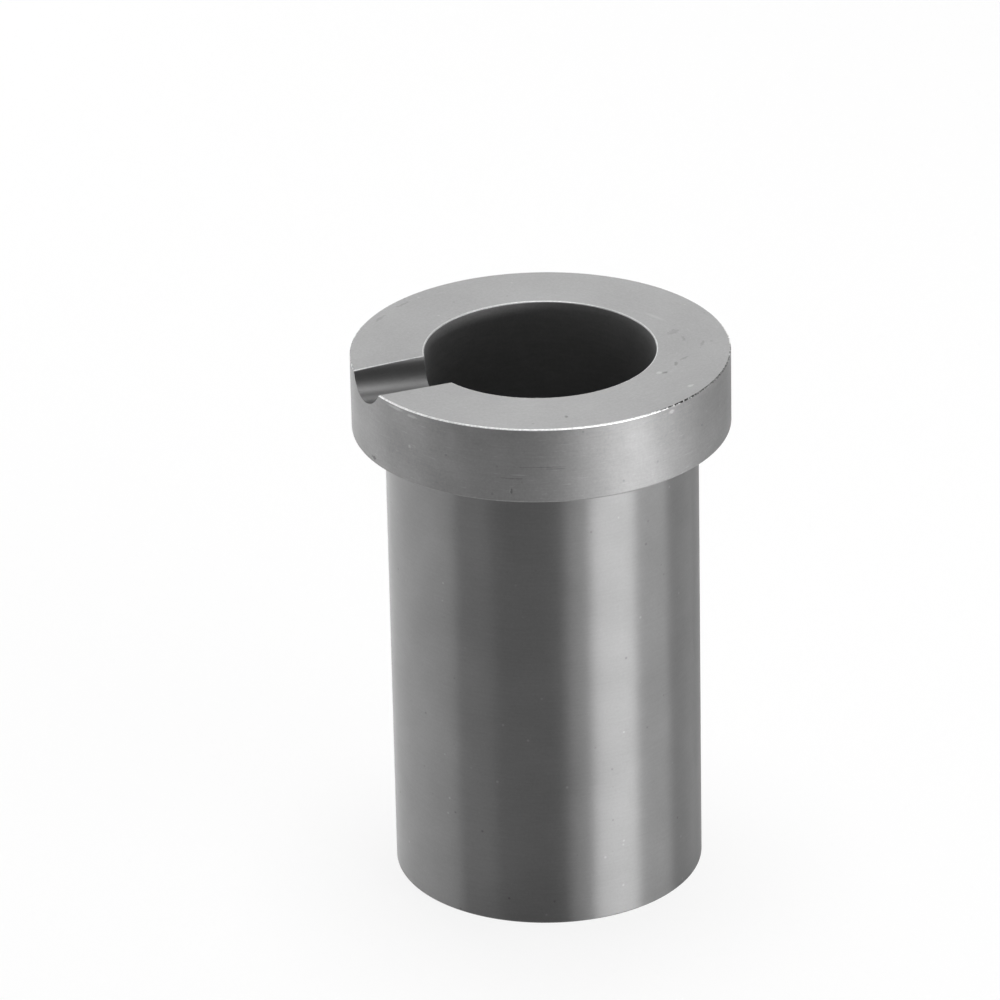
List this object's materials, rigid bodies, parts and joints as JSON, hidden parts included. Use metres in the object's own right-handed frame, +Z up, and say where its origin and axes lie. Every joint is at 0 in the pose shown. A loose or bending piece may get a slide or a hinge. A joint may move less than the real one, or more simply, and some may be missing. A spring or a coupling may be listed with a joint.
{
  "type": "foundry crucible",
  "caption": "Flanged graphite melting crucible: a straight round body with a wider collar, a blind chamber and a round-bottomed pouring channel through the collar.",
  "frame": {"origin": "centre of the flat foot, on the chamber's axis", "axes": "+Z up along the chamber's axis, out of its mouth; the pouring channel lies along -X"},
  "size_m": [0.058, 0.058, 0.0865],
  "materials": {
    "graphite": "satin"
  },
  "bodies": {
    "root": {"crucible": "graphite"}
  },
  "joints": []
}
